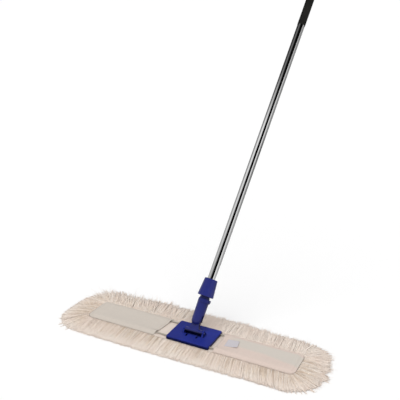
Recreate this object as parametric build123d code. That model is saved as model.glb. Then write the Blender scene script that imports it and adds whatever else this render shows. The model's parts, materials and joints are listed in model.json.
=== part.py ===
from build123d import *
import math
import os

# A flat sweeping mop: a cotton yarn head pocketed over a folding wire frame, a moulded
# centre plate with a two-way swivel joint, a twist-lock socket and a tube handle.
# Millimetres and degrees. +X runs along the head, +Y points away from the user, +Z is up.
# The origin lies on the floor, straight below the swivel barrel.

# ---------------------------------------------------------------------------- driving sizes
# clearances
cloth_gap = 0.3          # between cloth or yarn and what lies next to it
running_gap = 0.06       # radial, round a pin or axle that turns
fixed_gap = 0.02         # radial, round a pin or axle that is held
side_gap = 0.3           # between flat faces that turn past each other
sleeve_gap = 0.3         # radial, between the clamp nut and what it turns round

# yarn head
canvas_length = 610.0
canvas_width = 93.0
canvas_shift = -12.5     # centre of the head along X; the head sits a little to the left
canvas_thickness = 1.5
canvas_corner = 16.0
row_height = 8.5         # looped yarn rows sewn under the canvas
fringe_front = 73.0      # how far the outer fringe reaches past the canvas on each side
fringe_back = 86.0
fringe_left = 86.0
fringe_right = 73.0
fringe_corner = 68.0
fringe_tip = 3.0         # height of the fringe at its tips
fringe_root = 12.0       # height of the fringe where it leaves the canvas
fringe_slope = 42.0      # how far in from the tips the fringe reaches its full height
hinge_strip = 75.0       # the head bends within this distance of the joint when it folds
strip_gap = 0.4          # between the bending middle of the head and its two ends

# pockets that hold the frame's wings
pocket_thickness = 1.2
pocket_slope = 6.5       # how far in from its seam the pocket reaches full height
pocket_hem = 2.5         # width of the sewn foot of the pocket
mouth_left = 93.5        # pocket mouths, from the joint
mouth_right = 75.5

# folding wire wings
wire_diameter = 4.0
wing_end_margin = 10.0   # between the wings' outer ends and the nearer end of the canvas
wing_inset = 10.0        # wire centre, in from the edge of the centre plate
wing_corner = 14.0       # bend radii, at the wire centre
stub_bend = 6.0
fold_x = 48.0            # wing pivots, from the joint
stub_end = 18.0          # inner end of each pivot stub, from the middle plane

# centre plate and the keeper under it
plate_length = 124.0
plate_margin = 2.5       # the plate stops this far short of the canvas edges
plate_corner = 2.8
plate_bevel = 1.3
rim_bump_x = (13.0, 37.0)   # small round bosses along the rim
rim_bump_radius = 3.0
rim_bump_proud = 1.2
plate_roof = 2.5
plate_wall = 2.4
wire_headroom = 1.2      # between the wires and the roof
skirt_gap = 0.9          # between the skirt and the canvas
rib_thickness = 1.6
seat_gap = 0.1           # round the wing stubs in their saddles
notch_gap = 0.4          # each side of a wire where it leaves the plate
saddle_length = 8.0
saddle_wall = 2.4
keeper_thickness = 1.8
keeper_margin = 6.0
keeper_corner = 5.0
screw_x = 37.0
screw_y = 19.0
screw_shank = 2.9
screw_head = 5.6
screw_depth = 5.0        # length of shank in the boss
boss_wall = 2.2
window_width = 16.0      # opening in the roof under the barrel
slot_x = 15.0            # two small slots in front of the barrel
slot_y = -15.0
slot_width = 5.0
slot_length = 11.0

# swivel barrel
barrel_diameter = 12.8
barrel_length = 51.0
barrel_gap = 1.0         # between the barrel and the roof
axle_diameter = 5.0
axle_bevel = 0.4
lug_thickness = 4.5
lug_radius = 6.2
lug_foot = 24.0
tongue_thickness = 9.4
tongue_width = 23.0
tongue_foot = 31.0
foot_thickness = 12.3    # of the tongue's tapered foot where it leaves the barrel
barrel_bevel = 0.8
foot_height = 13.0       # of the tapered foot of the tongue, above the barrel's axis
pin_height = 30.0        # side pivot, above the barrel's axis
pin_diameter = 6.0
tilt_back = 35.0         # how the handle stands at rest
lean_side = 5.0

# socket: heights are above the side pivot
neck_root_radius = 14.7
neck_top_radius = 15.4
slot_height = 16.0
flange_at = 47.0
flange_height = 11.0
flange_radius = 16.6
flange_bevel = 1.0
flange_shift = 1.0       # the flange is set off towards its stop lug
spigot_root_radius = 13.8
spigot_root_gap = 2.0    # between the spigot's thick root and the clamp nut
spigot_radius = 12.6
spigot_length = 48.0
spigot_taper = 14.0      # length of the tapered tips of the gripping fingers
spigot_tip_radius = 11.9
finger_slot = 2.0
finger_length = 32.0
stop_lug_radius = 18.6
stop_lug_width = 9.0
stop_lug_drop = 7.3      # height of the lug's outer face, down from the flange's top
tube_seat = 28.0
pin_cover = 2.5          # wall that hides the pin at the front ear

# clamp nut
nut_above_flange = 7.0
nut_height = 48.6
nut_bottom_radius = 22.4
nut_top_radius = 18.0
nut_flat_count = 12
nut_bevel = 1.4
nut_lip = 6.0            # length of the narrow bore at the top

# handle
tube_diameter = 22.0
tube_wall = 0.5
tube_length = 984.0
grip_length = 116.0
grip_wall = 0.7
cap_flange = 6.0
cap_plug = 24.0
cap_height = 34.0
cap_tab = 7.0            # thickness of the hanging tab
cap_hole = 9.0
cap_hole_drop = 11.0     # from the top of the cap to the middle of the hole
cap_shoulder = 0.8
cap_crown_radius = 6.0   # flat top of the cap's rounded crown

# ---------------------------------------------------------------------------- worked-out sizes
plate_width = canvas_width - 2 * plate_margin
wing_half_width = plate_width / 2 - wing_inset
wing_reach = canvas_length / 2 - abs(canvas_shift) - wing_end_margin
canvas_top = row_height + canvas_thickness
wire_radius = wire_diameter / 2
wire_z = canvas_top + cloth_gap + wire_radius
keeper_top = wire_z - wire_radius - seat_gap
keeper_bottom = keeper_top - keeper_thickness
centre_canvas_top = keeper_bottom - cloth_gap
centre_row_height = centre_canvas_top - canvas_thickness
skirt_bottom = centre_canvas_top + skirt_gap
roof_inside = wire_z + wire_radius + wire_headroom
plate_top = roof_inside + plate_roof
barrel_radius = barrel_diameter / 2
barrel_z = plate_top + barrel_gap + barrel_radius
lug_inside = barrel_length / 2 + side_gap
lug_outside = lug_inside + lug_thickness
saddle_y = (stub_end + wing_half_width - stub_bend) / 2
keeper_half_width = wing_half_width - stub_bend - 2 * side_gap
canvas_left_end = canvas_shift - canvas_length / 2
canvas_right_end = canvas_shift + canvas_length / 2
canvas_front = -canvas_width / 2
canvas_back = canvas_width / 2
pocket_inside = wire_z + wire_radius + cloth_gap
pocket_top = pocket_inside + pocket_thickness
pocket_foot = canvas_top + cloth_gap
flange_top = flange_at + flange_height
spigot_top = flange_top + spigot_length
tube_radius = tube_diameter / 2
socket_radius = tube_radius + running_gap
ear_gap = tongue_thickness + 2 * side_gap
nut_bottom = flange_top + nut_above_flange
nut_top = nut_bottom + nut_height
grip_radius = tube_radius + fixed_gap + grip_wall
tube_top = tube_seat + tube_length
cap_top = tube_top + cap_height

# where the leaning pieces stand
barrel_place = Location((0, 0, barrel_z), (-tilt_back, 0, 0))
neck_place = barrel_place * Location((0, 0, pin_height), (0, lean_side, 0))


# ---------------------------------------------------------------------------- helpers
def block(x0, x1, y0, y1, z0, z1):
    """A box between two corners."""
    middle = ((x0 + x1) / 2, (y0 + y1) / 2, (z0 + z1) / 2)
    return Pos(*middle) * Box(x1 - x0, y1 - y0, z1 - z0)


def rod(radius, length, centre, axis):
    """A cylinder along X, Y or Z about its own centre."""
    turn = {"X": (0, 90, 0), "Y": (90, 0, 0), "Z": (0, 0, 0)}[axis]
    return Location(centre, turn) * Cylinder(radius, length)


def mirror_all(solid):
    """The solid and its copies in the other three quarters of the plate."""
    pair = solid + mirror(solid, Plane.YZ)
    return pair + mirror(pair, Plane.XZ)


def end_outline(x_in, x_out, y_front, y_back, corner):
    """A flat outline with a straight inner end at x_in and rounded corners at x_out."""
    middle = Pos((x_in + x_out) / 2, (y_front + y_back) / 2)
    face = middle * Rectangle(abs(x_out - x_in), y_back - y_front)
    outer = sorted(face.vertices(), key=lambda v: abs(v.X - x_out))[:2]
    return fillet(outer, corner)


def stack(lower, z_lower, upper, z_upper):
    """A straight-sided solid from one outline up to another."""
    return loft([Pos(0, 0, z_lower) * lower, Pos(0, 0, z_upper) * upper], ruled=True)


def turned(points):
    """A solid turned about Z from its half profile of (radius, height) points."""
    outline = make_face(Polyline([(r, 0, z) for r, z in points], close=True))
    return revolve(outline, Axis.Z)


# ---------------------------------------------------------------------------- yarn head
def canvas_end(x_in, x_out, inset=0.0, corner=canvas_corner):
    """The canvas outline from x_in to the outer end, drawn in by inset on three sides."""
    side = math.copysign(1, x_out)
    return end_outline(
        x_in, x_out - side * inset, canvas_front + inset, canvas_back - inset, corner
    )


def fringe_end(x_in, x_out, reach):
    """The outer fringe round one end: front, end and back in one piece."""
    side = math.copysign(1, x_out)
    tip_x = x_out + side * reach
    front = canvas_front - fringe_front
    back = canvas_back + fringe_back
    tips = end_outline(x_in, tip_x, front, back, fringe_corner)
    shoulder = end_outline(
        x_in,
        tip_x - side * fringe_slope,
        front + fringe_slope,
        back - fringe_slope,
        fringe_corner - fringe_slope,
    )
    body = extrude(tips, fringe_tip) + stack(tips, fringe_tip, shoulder, fringe_root)
    inside = canvas_end(x_in - side, x_out, -cloth_gap, canvas_corner + cloth_gap)
    return body - extrude(inside, fringe_root)


def fringe_middle():
    """The fringe in front of and behind the bending middle of the head."""
    half = hinge_strip - strip_gap
    front = canvas_front - fringe_front
    back = canvas_back + fringe_back
    section = Polyline(
        [
            (0, front, 0),
            (0, back, 0),
            (0, back, fringe_tip),
            (0, back - fringe_slope, fringe_root),
            (0, front + fringe_slope, fringe_root),
            (0, front, fringe_tip),
        ],
        close=True,
    )
    body = extrude(make_face(section), half, both=True)
    gap = cloth_gap
    return body - block(-half, half, canvas_front - gap, canvas_back + gap, 0, fringe_root)


def canvas_middle():
    half = hinge_strip - strip_gap
    return block(
        -half, half, canvas_front, canvas_back, centre_row_height, centre_canvas_top
    )


def rows_middle():
    half = hinge_strip - strip_gap
    top = centre_row_height - cloth_gap
    return block(-half, half, canvas_front, canvas_back, 0, top)


def rows_end(x_out):
    side = math.copysign(1, x_out)
    return extrude(canvas_end(side * hinge_strip, x_out), row_height - cloth_gap)


def canvas_end_sheet(x_out):
    side = math.copysign(1, x_out)
    outline = canvas_end(side * hinge_strip, x_out)
    return Pos(0, 0, row_height) * extrude(outline, canvas_thickness)


def pocket(mouth, x_out):
    """A flat sleeve over one wing, sewn down on three sides and open at its mouth."""
    side = math.copysign(1, x_out)
    top_corner = canvas_corner - pocket_slope
    outside = stack(
        canvas_end(mouth, x_out),
        pocket_foot,
        canvas_end(mouth, x_out, pocket_slope, top_corner),
        pocket_top,
    )
    foot_corner = canvas_corner - pocket_hem
    roof_inset = pocket_slope + pocket_hem / 2
    open_end = mouth - side * pocket_slope
    inside = stack(
        canvas_end(open_end, x_out, pocket_hem, foot_corner),
        pocket_foot,
        canvas_end(open_end, x_out, roof_inset, canvas_corner - roof_inset),
        pocket_inside,
    )
    return outside - inside


# ---------------------------------------------------------------------------- wings
def wing_wire(side):
    """A U of wire whose two ends turn inward as pivot stubs."""
    route = FilletPolyline(
        (fold_x, stub_end, wire_z),
        (fold_x, wing_half_width, wire_z),
        (wing_reach - wire_radius, wing_half_width, wire_z),
        (wing_reach - wire_radius, -wing_half_width, wire_z),
        (fold_x, -wing_half_width, wire_z),
        (fold_x, -stub_end, wire_z),
        radius=[stub_bend, wing_corner, wing_corner, stub_bend],
    )
    section = Plane(origin=route @ 0, z_dir=route % 0) * Circle(wire_radius)
    wire = sweep(section, path=route)
    if side < 0:
        wire = mirror(wire, Plane.YZ)
    return wire


# ---------------------------------------------------------------------------- centre plate
def plate_shell():
    """A shallow tray, open below, with a bevelled top edge."""
    height = plate_top - skirt_bottom
    outline = RectangleRounded(plate_length, plate_width, plate_corner)
    shell = Pos(0, 0, skirt_bottom) * extrude(outline, height)
    shell = chamfer(shell.faces().sort_by(Axis.Z)[-1].edges(), plate_bevel)
    inner = RectangleRounded(
        plate_length - 2 * plate_wall, plate_width - 2 * plate_wall, plate_corner - plate_wall / 2
    )
    shell -= Pos(0, 0, skirt_bottom) * extrude(inner, roof_inside - skirt_bottom)
    return shell + rim_bumps()


def rim_bumps():
    """Low round bosses on the outside of the long skirts."""
    height = plate_top - plate_bevel - skirt_bottom
    middle = plate_width / 2 + rim_bump_proud - rim_bump_radius
    face = plate_width / 2 - plate_wall / 2
    outside = block(0, plate_length, face, plate_width, skirt_bottom, plate_top)
    bumps = [
        Pos(x, middle, skirt_bottom + height / 2) * Cylinder(rim_bump_radius, height) & outside
        for x in rim_bump_x
    ]
    return mirror_all(bumps[0] + bumps[1])


def plate_ribs():
    """Stiffening ribs: two pairs along X, and one across under each lug."""
    bottom = keeper_top + seat_gap
    reach = fold_x - wire_radius - saddle_wall - seat_gap
    ribs = []
    for y in (window_width / 2 + rib_thickness, keeper_half_width - rib_thickness):
        half = rib_thickness / 2
        ribs.append(block(-reach, reach, y - half, y + half, bottom, roof_inside))
    lug_middle = (lug_inside + lug_outside) / 2
    half = rib_thickness / 2
    edge = keeper_half_width - rib_thickness
    ribs.append(block(lug_middle - half, lug_middle + half, 0, edge, bottom, roof_inside))
    result = ribs[0] + ribs[1] + ribs[2]
    return mirror_all(result)


def saddle():
    """A half-round bearing over one wing stub."""
    half_x = wire_radius + seat_gap + saddle_wall
    half_y = saddle_length / 2
    body = block(
        fold_x - half_x, fold_x + half_x, saddle_y - half_y, saddle_y + half_y, wire_z, roof_inside
    )
    seat = rod(wire_radius + seat_gap, saddle_length, (fold_x, saddle_y, wire_z), "Y")
    return body - seat


def boss():
    height = roof_inside - keeper_top
    return Pos(screw_x, screw_y, (roof_inside + keeper_top) / 2) * Cylinder(
        screw_shank / 2 + boss_wall, height
    )


def lug():
    """The upright that carries one end of the axle: a round head on a flared foot."""
    foot = lug_foot / 2
    outline = Polyline(
        [
            (lug_inside, -foot, plate_top),
            (lug_inside, foot, plate_top),
            (lug_inside, lug_radius, barrel_z),
            (lug_inside, -lug_radius, barrel_z),
        ],
        close=True,
    )
    web = extrude(make_face(outline), lug_thickness, dir=(1, 0, 0))
    head = rod(lug_radius, lug_thickness, ((lug_inside + lug_outside) / 2, 0, barrel_z), "X")
    return web + head


def centre_plate():
    plate = plate_shell() + plate_ribs() + mirror_all(saddle()) + mirror_all(boss())
    lugs = lug()
    plate += lugs + mirror(lugs, Plane.YZ)
    window_half = lug_inside - plate_bevel
    window = RectangleRounded(2 * window_half, window_width, plate_bevel)
    plate -= Pos(0, 0, roof_inside) * extrude(window, plate_roof)
    for side in (-1, 1):
        opening = RectangleRounded(slot_width, slot_length, slot_width / 4)
        plate -= Pos(side * slot_x, slot_y, roof_inside) * extrude(opening, plate_roof)
    bore = axle_diameter / 2 + fixed_gap
    plate -= rod(bore, 2 * lug_outside, (0, 0, barrel_z), "X")
    depth = screw_depth + fixed_gap
    pilot = Pos(screw_x, screw_y, keeper_top + depth / 2) * Cylinder(
        screw_shank / 2 + fixed_gap, depth
    )
    plate -= mirror_all(pilot)
    half = wire_radius + notch_gap
    inner = plate_length / 2 - plate_wall
    notch = block(
        inner, plate_length / 2, wing_half_width - half, wing_half_width + half,
        skirt_bottom, wire_z
    )
    crown = rod(half, plate_wall, (inner + plate_wall / 2, wing_half_width, wire_z), "X")
    return plate - mirror_all(notch + crown)


def keeper_plate():
    """The bottom cover that holds the wing stubs up in their saddles."""
    length = 2 * (fold_x + keeper_margin)
    outline = RectangleRounded(length, 2 * keeper_half_width, keeper_corner)
    plate = Pos(0, 0, keeper_bottom) * extrude(outline, keeper_thickness)
    return plate - mirror_all(screw(fixed_gap))


def screw(extra=0.0):
    """A countersunk screw, driven up through the keeper; extra widens it into its own hole."""
    shank = screw_shank / 2 + extra
    head = screw_head / 2 + extra
    cone = head - shank
    top = keeper_top + screw_depth
    profile = [
        (0, keeper_bottom), (head, keeper_bottom), (shank, keeper_bottom + cone), (shank, top),
        (0, top)
    ]
    return Pos(screw_x, screw_y, 0) * turned(profile)


# ---------------------------------------------------------------------------- swivel
def tilt_axle():
    axle = rod(axle_diameter / 2, 2 * lug_outside, (0, 0, barrel_z), "X")
    return chamfer(axle.edges(), axle_bevel)


def swivel_barrel():
    """A barrel along X with a round-topped tongue standing on a tapered foot."""
    barrel = rod(barrel_radius, barrel_length, (0, 0, 0), "X")
    barrel = chamfer(barrel.edges().filter_by(GeomType.CIRCLE), barrel_bevel)
    foot = stack(
        Rectangle(tongue_foot, foot_thickness), 0,
        Rectangle(tongue_width, tongue_thickness), foot_height
    )
    half = tongue_thickness / 2
    tongue = block(-tongue_width / 2, tongue_width / 2, -half, half, foot_height, pin_height)
    top = rod(tongue_width / 2, tongue_thickness, (0, 0, pin_height), "Y")
    solid = barrel + foot + tongue + top
    solid -= rod(axle_diameter / 2 + running_gap, barrel_length, (0, 0, 0), "X")
    solid -= rod(pin_diameter / 2 + running_gap, tongue_thickness, (0, 0, pin_height), "Y")
    return barrel_place * solid


# ---------------------------------------------------------------------------- socket and clamp
def pin_span():
    """Where the side pin starts, behind the front ear's cover, and where it ends."""
    return -(neck_root_radius - pin_cover), neck_root_radius - pin_cover / 2


def pivot_pin():
    front, back = pin_span()
    return neck_place * rod(pin_diameter / 2, back - front, (0, (front + back) / 2, 0), "Y")


def flange():
    """A bevelled ring, set off centre towards the stop lug."""
    inner = flange_radius - flange_bevel
    ring = turned(
        [
            (0, flange_at),
            (inner, flange_at),
            (flange_radius, flange_at + flange_bevel),
            (flange_radius, flange_top - flange_bevel),
            (inner, flange_top),
            (0, flange_top),
        ]
    )
    return Pos(flange_shift, 0, 0) * ring


def stop_lug():
    """A wedge on the flange that marks and stops the clamp nut's turn."""
    root = spigot_radius - finger_slot
    rise = stop_lug_radius - root
    bottom = flange_top - stop_lug_drop - rise
    bevel = flange_bevel
    side = Polyline(
        [
            (0, 0, bottom),
            (root, 0, bottom),
            (stop_lug_radius, 0, bottom + rise),
            (stop_lug_radius, 0, flange_top - bevel),
            (stop_lug_radius - bevel, 0, flange_top),
            (0, 0, flange_top),
        ],
        close=True,
    )
    return extrude(make_face(side), stop_lug_width / 2, both=True)


def socket_neck():
    """Ball-ended fork, neck, flange and slotted gripping spigot in one moulding."""
    root_top = nut_bottom - spigot_root_gap
    body = turned(
        [
            (0, 0),
            (neck_root_radius, 0),
            (neck_top_radius, flange_at),
            (neck_top_radius, flange_top - flange_bevel),
            (spigot_root_radius, flange_top - flange_bevel),
            (spigot_root_radius, root_top),
            (spigot_radius, root_top),
            (spigot_radius, spigot_top - spigot_taper),
            (spigot_tip_radius, spigot_top),
            (0, spigot_top),
        ]
    )
    body += flange() + stop_lug()
    wide = neck_root_radius + side_gap
    body += Sphere(neck_root_radius) & block(-wide, wide, -wide, wide, -wide, 0)
    half = ear_gap / 2
    slot = block(-wide, wide, -half, half, -neck_root_radius, slot_height - half)
    slot += rod(half, 2 * wide, (0, 0, slot_height - half), "X")
    body -= slot
    bore_length = spigot_top - tube_seat
    body -= Pos(0, 0, tube_seat + bore_length / 2) * Cylinder(socket_radius, bore_length)
    front, back = pin_span()
    open_back = neck_top_radius
    bore = pin_diameter / 2 + fixed_gap
    body -= rod(bore, open_back - front, (0, (front + open_back) / 2, 0), "Y")
    cut = finger_slot / 2
    for turn in (45, 135):
        gap = block(
            -spigot_radius, spigot_radius, -cut, cut, spigot_top - finger_length, spigot_top
        )
        body -= Rot(0, 0, turn) * gap
    return neck_place * body


def collar_nut():
    """A tapered twelve-sided nut, bevelled at both ends, with a stepped conical bore."""
    outside = stack(
        RegularPolygon(nut_bottom_radius, nut_flat_count), nut_bottom,
        RegularPolygon(nut_top_radius, nut_flat_count), nut_top
    )
    turned_limits = turned(
        [
            (0, nut_bottom),
            (nut_bottom_radius - nut_bevel, nut_bottom),
            (nut_bottom_radius, nut_bottom + nut_bevel),
            (nut_top_radius, nut_top - nut_bevel),
            (nut_top_radius - nut_bevel, nut_top),
            (0, nut_top),
        ]
    )
    solid = outside & turned_limits
    narrow = tube_radius + sleeve_gap
    wide = spigot_radius + sleeve_gap
    tip = spigot_tip_radius + sleeve_gap
    ledge = max(spigot_top + side_gap, nut_top - nut_lip)
    bore = turned(
        [
            (0, nut_bottom),
            (wide, nut_bottom),
            (wide, spigot_top - spigot_taper),
            (tip, spigot_top),
            (tip, ledge),
            (narrow, ledge),
            (narrow, nut_top),
            (0, nut_top),
        ]
    )
    return neck_place * (solid - bore)


# ---------------------------------------------------------------------------- handle
def handle_tube():
    middle = (tube_seat + tube_top) / 2
    tube = Pos(0, 0, middle) * Cylinder(tube_radius, tube_length)
    bore = Pos(0, 0, middle) * Cylinder(tube_radius - tube_wall, tube_length)
    return neck_place * (tube - bore)


def hand_grip():
    """A thin sleeve over the top of the tube, rounded at its lower edge."""
    bottom = tube_top - grip_length
    inside = tube_radius + fixed_gap
    sleeve = turned(
        [
            (inside, bottom),
            (grip_radius - grip_wall / 2, bottom),
            (grip_radius, bottom + grip_wall),
            (grip_radius, tube_top),
            (inside, tube_top),
        ]
    )
    return neck_place * sleeve


def hanging_cap():
    """An end plug whose top is pinched to a tab with a hanging hole."""
    plug = tube_radius - tube_wall - fixed_gap
    crown = cap_height - cap_flange
    body = turned(
        [
            (0, tube_top - cap_plug),
            (plug - tube_wall, tube_top - cap_plug),
            (plug, tube_top - cap_plug + 2 * tube_wall),
            (plug, tube_top),
            (grip_radius, tube_top),
            (grip_radius, cap_top - crown / 2),
            (grip_radius - cap_shoulder, cap_top - crown / 4),
            (cap_crown_radius + cap_shoulder, cap_top - 3 * cap_shoulder),
            (cap_crown_radius, cap_top),
            (0, cap_top),
        ]
    )
    for side in (-1, 1):
        flank = Polyline(
            [
                (0, side * grip_radius, tube_top + cap_flange / 2),
                (0, side * cap_tab / 2, cap_top - crown + cap_flange / 2),
                (0, side * cap_tab / 2, cap_top),
                (0, side * grip_radius, cap_top),
            ],
            close=True,
        )
        body -= extrude(make_face(flank), grip_radius, both=True)
    body -= rod(cap_hole / 2, cap_tab, (0, 0, cap_top - cap_hole_drop), "Y")
    return neck_place * body


# ---------------------------------------------------------------------------- files
parts = {
    "centre_plate": centre_plate(),
    "keeper_plate": keeper_plate(),
    "keeper_screws": mirror_all(screw()),
    "tilt_axle": tilt_axle(),
    "canvas_centre": canvas_middle(),
    "yarn_rows_centre": rows_middle(),
    "fringe_centre": fringe_middle(),
    "wing_wire_left": wing_wire(-1),
    "canvas_left": canvas_end_sheet(canvas_left_end),
    "pocket_left": pocket(-mouth_left, canvas_left_end),
    "yarn_rows_left": rows_end(canvas_left_end),
    "fringe_left": fringe_end(-hinge_strip, canvas_left_end, fringe_left),
    "wing_wire_right": wing_wire(1),
    "canvas_right": canvas_end_sheet(canvas_right_end),
    "pocket_right": pocket(mouth_right, canvas_right_end),
    "yarn_rows_right": rows_end(canvas_right_end),
    "fringe_right": fringe_end(hinge_strip, canvas_right_end, fringe_right),
    "swivel_barrel": swivel_barrel(),
    "pivot_pin": pivot_pin(),
    "socket_neck": socket_neck(),
    "collar_nut": collar_nut(),
    "handle_tube": handle_tube(),
    "hand_grip": hand_grip(),
    "hanging_cap": hanging_cap(),
}

os.makedirs("parts", exist_ok=True)
for name, solid in parts.items():
    export_step(solid, f"parts/{name}.step")
    print(name, round(solid.volume, 1))
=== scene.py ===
import json
import math

import bpy
import numpy as np
from mathutils import Matrix, Vector


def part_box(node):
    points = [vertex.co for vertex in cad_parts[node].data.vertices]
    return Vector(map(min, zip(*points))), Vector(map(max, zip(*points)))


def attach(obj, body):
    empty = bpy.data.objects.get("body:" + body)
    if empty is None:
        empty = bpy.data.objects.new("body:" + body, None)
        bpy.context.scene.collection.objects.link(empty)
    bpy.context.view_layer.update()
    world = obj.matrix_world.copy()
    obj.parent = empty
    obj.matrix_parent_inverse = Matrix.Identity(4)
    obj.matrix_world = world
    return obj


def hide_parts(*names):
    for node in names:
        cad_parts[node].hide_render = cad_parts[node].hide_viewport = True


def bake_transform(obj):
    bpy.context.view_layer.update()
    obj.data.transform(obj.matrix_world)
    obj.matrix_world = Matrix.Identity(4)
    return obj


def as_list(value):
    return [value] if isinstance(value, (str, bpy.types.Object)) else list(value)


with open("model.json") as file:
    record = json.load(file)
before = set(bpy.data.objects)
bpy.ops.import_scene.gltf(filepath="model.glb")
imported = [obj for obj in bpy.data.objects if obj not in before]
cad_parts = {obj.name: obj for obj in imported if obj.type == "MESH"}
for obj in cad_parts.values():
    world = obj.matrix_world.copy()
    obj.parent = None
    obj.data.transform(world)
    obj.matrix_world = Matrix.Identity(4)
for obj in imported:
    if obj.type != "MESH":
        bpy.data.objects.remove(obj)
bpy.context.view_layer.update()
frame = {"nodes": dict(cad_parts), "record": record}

# A flat sweeping mop. Metres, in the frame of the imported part: +X runs along the head,
# +Y points away from the user, +Z is up, and the floor is at z = 0.

# -------------------- places read from the frame
LEFT_END, FRONT, END_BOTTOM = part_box("canvas_left")[0]
BACK, END_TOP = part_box("canvas_left")[1].yz
RIGHT_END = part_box("canvas_right")[1].x
WIDTH = BACK - FRONT
MIDDLE_Y = (FRONT + BACK) / 2
MIDDLE_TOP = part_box("canvas_centre")[1].z
CANVAS_THICKNESS = END_TOP - END_BOTTOM
POCKET_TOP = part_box("pocket_left")[1].z
LEFT_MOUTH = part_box("pocket_left")[1].x
RIGHT_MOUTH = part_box("pocket_right")[0].x
PLATE_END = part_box("centre_plate")[1].x
FRINGE_SHIFT = 0.003    # the fringe's tips lie this far right of its solids' ends
REACH_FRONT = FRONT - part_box("fringe_left")[0].y
REACH_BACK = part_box("fringe_left")[1].y - BACK
REACH_LEFT = LEFT_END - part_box("fringe_left")[0].x - FRINGE_SHIFT
REACH_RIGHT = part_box("fringe_right")[1].x - RIGHT_END + FRINGE_SHIFT
FRINGE_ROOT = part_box("fringe_left")[1].z
WIRE_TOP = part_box("wing_wire_left")[1].z
WIRE_HALF_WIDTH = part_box("wing_wire_left")[1].y

CANVAS_CORNER = 0.016
FRINGE_TIP = 0.0022
LEFT_MOUTH_SLANT = 0.13  # the left pocket's mouth runs a little askew
POCKET_THICKNESS = 0.0009
CLEARANCE = 0.0003      # between cloth and what lies against it
BEND_END = 0.072
DIP_END = BEND_END + 0.008  # past this the canvas is clear of the keeper's dip

# Each half of the head: its side, its name, its end, and its pocket's mouth and slant.
HALVES = (
    (-1, "left", LEFT_END, LEFT_MOUTH, LEFT_MOUTH_SLANT),
    (1, "right", RIGHT_END, RIGHT_MOUTH, 0.0),
)

# -------------------- colours (linear)
BLUE = (0.0165, 0.031, 0.280)
BLUE_DARK = (0.014, 0.020, 0.160)
SOCKET_BLUE = (0.0135, 0.0205, 0.178)
SOCKET_BLUE_DARK = (0.012, 0.014, 0.120)
# the neck's blue is the socket's darkened: painted shade
NECK_BLUE_SHADED = (0.0085, 0.014, 0.138)
NECK_BLUE_SHADED_DARK = (0.008, 0.010, 0.090)
CHROME = (0.82, 0.82, 0.82)
STEEL = (0.55, 0.55, 0.56)
WIRE = (0.46, 0.42, 0.36)
BLACK = (0.010, 0.010, 0.009)
BLACK_RUBBED = (0.018, 0.017, 0.015)
# the pockets are of one canvas: the right's copy is lighter, painted light, and pinker
POCKET_LEFT = (0.627, 0.566, 0.502)
POCKET_RIGHT = (0.72, 0.598, 0.532)
# the greyer stripe of painted shade on the right pocket
POCKET_FOLD_SHADE = (0.615, 0.573, 0.515)
# the middle canvas is lighter than the pockets' cloth, painted light against the shade it lies in,
# and pinker
CANVAS_BASE = (0.76, 0.66, 0.585)
YARN = (0.858, 0.775, 0.698)
THREAD = (0.70, 0.63, 0.56)
LABEL = (0.60, 0.57, 0.60)
FLOOR = (0.975, 0.975, 0.975)
FLOOR_DARK = (0.965, 0.965, 0.965)


def tinted(colour, factors):
    """A colour times one factor, or times one for each channel."""
    if not isinstance(factors, tuple):
        factors = (factors,) * 3
    return tuple(c * k for c, k in zip(colour, factors))


# -------------------- camera
CAMERA_PLACE = (0.6478, -1.229, 0.8776)
CAMERA_YAW = math.radians(-27.155)
CAMERA_PITCH = math.radians(19.235)
CAMERA_LENS = 54
CAMERA_SENSOR = 36


def add_camera():
    """Stands ahead of the mop's right end and looks down at its middle."""
    data = bpy.data.cameras.new("camera")
    data.lens = CAMERA_LENS
    data.sensor_width = CAMERA_SENSOR
    camera = bpy.data.objects.new("camera", data)
    bpy.context.scene.collection.objects.link(camera)
    level = math.cos(CAMERA_PITCH)
    down = math.sin(CAMERA_PITCH)
    ahead = Vector((math.sin(CAMERA_YAW) * level, math.cos(CAMERA_YAW) * level, -down))
    right = ahead.cross(Vector((0, 0, 1))).normalized()
    up = right.cross(ahead)
    turn = Matrix((right, up, -ahead)).transposed().to_4x4()
    camera.matrix_world = Matrix.Translation(CAMERA_PLACE) @ turn
    bpy.context.scene.camera = camera


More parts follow.
